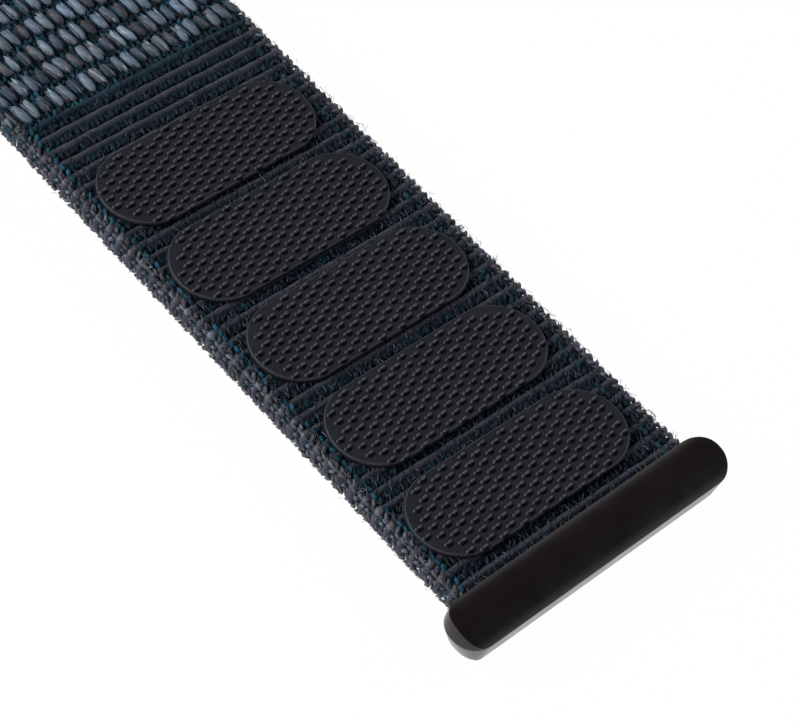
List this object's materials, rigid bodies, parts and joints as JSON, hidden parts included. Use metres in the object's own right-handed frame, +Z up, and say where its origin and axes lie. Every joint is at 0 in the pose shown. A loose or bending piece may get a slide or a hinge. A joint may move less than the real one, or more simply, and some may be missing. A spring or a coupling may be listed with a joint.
{
  "type": "nylon watch strap",
  "caption": "Woven nylon watch strap: it wraps round the wrist and its free end, with hook pads and a stop bar, folds back through an open lug frame.",
  "frame": {"origin": "the middle of the strap's footprint, on the surface that it lies on", "axes": "+X along the strap towards its free tip, +Y across it, +Z up out of its outer face"},
  "size_m": [0.2402, 0.0284, 0.0081],
  "materials": {
    "woven_nylon": "double-layer woven nylon, ribbed, navy grey with light floats",
    "hook_plastic": "moulded nylon with fine hooks",
    "bar_plastic": "satin dark moulding",
    "frame_steel": "dark grey coated steel",
    "bright_steel": "plain turned steel",
    "spring_steel": "drawn wire"
  },
  "bodies": {
    "ring_seat": {"band_ring_seat": "woven_nylon"},
    "fold_block": {"band_fold": "woven_nylon"},
    "tip_9": {"band_tip_9": "woven_nylon"},
    "tip_8": {"band_tip_8": "woven_nylon"},
    "tip_7": {"band_tip_7": "woven_nylon"},
    "tip_6": {"band_tip_6": "woven_nylon"},
    "tip_5": {"band_tip_5": "woven_nylon", "hook_pad_5": "hook_plastic"},
    "tip_4": {"band_tip_4": "woven_nylon", "hook_pad_4": "hook_plastic"},
    "tip_3": {"band_tip_3": "woven_nylon", "hook_pad_3": "hook_plastic"},
    "tip_2": {"band_tip_2": "woven_nylon", "hook_pad_2": "hook_plastic"},
    "tip_1": {"band_tip_1": "woven_nylon", "hook_pad_1": "hook_plastic", "hem_pin": "bright_steel", "stop_bar": "bar_plastic"},
    "wrap_1": {"band_wrap_1": "woven_nylon"},
    "wrap_2": {"band_wrap_2": "woven_nylon"},
    "wrap_3": {"band_wrap_3": "woven_nylon"},
    "wrap_4": {"band_wrap_4": "woven_nylon"},
    "wrap_5": {"band_wrap_5": "woven_nylon"},
    "wrap_6": {"band_wrap_6": "woven_nylon"},
    "wrap_7": {"band_wrap_7": "woven_nylon"},
    "wrap_8": {"band_wrap_8": "woven_nylon"},
    "wrap_9": {"band_wrap_9": "woven_nylon"},
    "strap_end": {"band_end": "woven_nylon"},
    "open_frame": {"lug_frame_open": "frame_steel", "open_bar_tube": "bright_steel", "open_bar_spring": "spring_steel"},
    "open_release": {"open_bar_release_plunger": "bright_steel"},
    "open_plunger": {"open_bar_plain_plunger": "bright_steel"},
    "end_frame": {"lug_frame_end": "frame_steel", "end_bar_tube": "bright_steel", "end_bar_spring": "spring_steel"},
    "end_release": {"end_bar_release_plunger": "bright_steel"},
    "end_plunger": {"end_bar_plain_plunger": "bright_steel"}
  },
  "joints": [
    {"name": "flap_fold", "type": "hinge", "parent": "ring_seat", "child": "fold_block", "pos_m": [0.0317, 0, 0.006], "axis": [0, -1, 0], "range_deg": [0, 90]},
    {"name": "flap_turn", "type": "hinge", "parent": "fold_block", "child": "tip_9", "pos_m": [0.0341, 0, 0.006], "axis": [0, -1, 0], "range_deg": [0, 99.09]},
    {"name": "tip_bend_8", "type": "hinge", "parent": "tip_9", "child": "tip_8", "pos_m": [0.0441, 0, 0.00375], "axis": [0, -1, 0], "range_deg": [0, 24]},
    {"name": "flap_straighten", "type": "hinge", "parent": "tip_8", "child": "tip_7", "pos_m": [0.0541, 0, 0.00215], "axis": [0, -1, 0], "range_deg": [-9.09, 0]},
    {"name": "tip_bend_6", "type": "hinge", "parent": "tip_7", "child": "tip_6", "pos_m": [0.0631, 0, 0.00215], "axis": [0, -1, 0], "range_deg": [0, 22]},
    {"name": "tip_bend_5", "type": "hinge", "parent": "tip_6", "child": "tip_5", "pos_m": [0.0725, 0, 0.00215], "axis": [0, -1, 0], "range_deg": [0, 16]},
    {"name": "tip_bend_4", "type": "hinge", "parent": "tip_5", "child": "tip_4", "pos_m": [0.08127, 0, 0.00215], "axis": [0, -1, 0], "range_deg": [0, 15]},
    {"name": "tip_bend_3", "type": "hinge", "parent": "tip_4", "child": "tip_3", "pos_m": [0.08962, 0, 0.00215], "axis": [0, -1, 0], "range_deg": [0, 15]},
    {"name": "tip_bend_2", "type": "hinge", "parent": "tip_3", "child": "tip_2", "pos_m": [0.09821, 0, 0.00215], "axis": [0, -1, 0], "range_deg": [0, 14]},
    {"name": "tip_bend_1", "type": "hinge", "parent": "tip_2", "child": "tip_1", "pos_m": [0.10704, 0, 0.00215], "axis": [0, -1, 0], "range_deg": [0, 14]},
    {"name": "wrap_curl", "type": "hinge", "parent": "ring_seat", "child": "wrap_1", "pos_m": [0.0206, 0, 0.00435], "axis": [0, -1, 0], "range_deg": [0, 26]},
    {"name": "wrap_bend_2", "type": "hinge", "parent": "wrap_1", "child": "wrap_2", "pos_m": [0.0071, 0, 0.0016], "axis": [0, -1, 0], "range_deg": [0, 26]},
    {"name": "wrap_bend_3", "type": "hinge", "parent": "wrap_2", "child": "wrap_3", "pos_m": [-0.0064, 0, 0.0016], "axis": [0, -1, 0], "range_deg": [0, 26]},
    {"name": "wrap_bend_4", "type": "hinge", "parent": "wrap_3", "child": "wrap_4", "pos_m": [-0.0199, 0, 0.0016], "axis": [0, -1, 0], "range_deg": [0, 26]},
    {"name": "wrap_bend_5", "type": "hinge", "parent": "wrap_4", "child": "wrap_5", "pos_m": [-0.0334, 0, 0.0016], "axis": [0, -1, 0], "range_deg": [0, 26]},
    {"name": "wrap_bend_6", "type": "hinge", "parent": "wrap_5", "child": "wrap_6", "pos_m": [-0.0469, 0, 0.0016], "axis": [0, -1, 0], "range_deg": [0, 26]},
    {"name": "wrap_bend_7", "type": "hinge", "parent": "wrap_6", "child": "wrap_7", "pos_m": [-0.0604, 0, 0.0016], "axis": [0, -1, 0], "range_deg": [0, 26]},
    {"name": "wrap_bend_8", "type": "hinge", "parent": "wrap_7", "child": "wrap_8", "pos_m": [-0.0739, 0, 0.0016], "axis": [0, -1, 0], "range_deg": [0, 26]},
    {"name": "wrap_bend_9", "type": "hinge", "parent": "wrap_8", "child": "wrap_9", "pos_m": [-0.0874, 0, 0.0016], "axis": [0, -1, 0], "range_deg": [0, 26]},
    {"name": "wrap_bend_10", "type": "hinge", "parent": "wrap_9", "child": "strap_end", "pos_m": [-0.1009, 0, 0.0016], "axis": [0, -1, 0], "range_deg": [0, 26]},
    {"name": "open_frame_swing", "type": "hinge", "parent": "ring_seat", "child": "open_frame", "pos_m": [0.0305, 0, 0.0072], "axis": [0, -1, 0], "range_deg": [0, 90]},
    {"name": "end_frame_pivot", "type": "hinge", "parent": "strap_end", "child": "end_frame", "pos_m": [-0.1129, 0, 0.0021], "axis": [0, -1, 0], "range_deg": [-130, 130]},
    {"name": "open_bar_release_slide", "type": "slide", "parent": "open_frame", "child": "open_release", "axis": [0, -1, 0], "range_m": [0, 0.0013], "stiffness_N_per_m": 400, "springref_m": -0.0008, "deforming": ["open_bar_spring"]},
    {"name": "open_bar_plain_slide", "type": "slide", "parent": "open_frame", "child": "open_plunger", "axis": [0, 1, 0], "range_m": [0, 0.0013], "stiffness_N_per_m": 400, "springref_m": -0.0008, "deforming": ["open_bar_spring"]},
    {"name": "end_bar_release_slide", "type": "slide", "parent": "end_frame", "child": "end_release", "axis": [0, 1, 0], "range_m": [0, 0.0013], "stiffness_N_per_m": 400, "springref_m": -0.0008, "deforming": ["end_bar_spring"]},
    {"name": "end_bar_plain_slide", "type": "slide", "parent": "end_frame", "child": "end_plunger", "axis": [0, -1, 0], "range_m": [0, 0.0013], "stiffness_N_per_m": 400, "springref_m": -0.0008, "deforming": ["end_bar_spring"]}
  ],
  "couplings": [
    {"joint": "flap_turn", "follows": "flap_fold", "ratio": 1.101},
    {"joint": "tip_bend_8", "follows": "wrap_curl", "ratio": 0.92308},
    {"joint": "flap_straighten", "follows": "flap_fold", "ratio": -0.101},
    {"joint": "tip_bend_6", "follows": "wrap_curl", "ratio": 0.84615},
    {"joint": "tip_bend_5", "follows": "wrap_curl", "ratio": 0.61538},
    {"joint": "tip_bend_4", "follows": "wrap_curl", "ratio": 0.57692},
    {"joint": "tip_bend_3", "follows": "wrap_curl", "ratio": 0.57692},
    {"joint": "tip_bend_2", "follows": "wrap_curl", "ratio": 0.53846},
    {"joint": "tip_bend_1", "follows": "wrap_curl", "ratio": 0.53846},
    {"joint": "wrap_bend_2", "follows": "wrap_curl", "ratio": 1},
    {"joint": "wrap_bend_3", "follows": "wrap_curl", "ratio": 1},
    {"joint": "wrap_bend_4", "follows": "wrap_curl", "ratio": 1},
    {"joint": "wrap_bend_5", "follows": "wrap_curl", "ratio": 1},
    {"joint": "wrap_bend_6", "follows": "wrap_curl", "ratio": 1},
    {"joint": "wrap_bend_7", "follows": "wrap_curl", "ratio": 1},
    {"joint": "wrap_bend_8", "follows": "wrap_curl", "ratio": 1},
    {"joint": "wrap_bend_9", "follows": "wrap_curl", "ratio": 1},
    {"joint": "wrap_bend_10", "follows": "wrap_curl", "ratio": 1},
    {"joint": "open_frame_swing", "follows": "flap_fold", "ratio": 1}
  ]
}
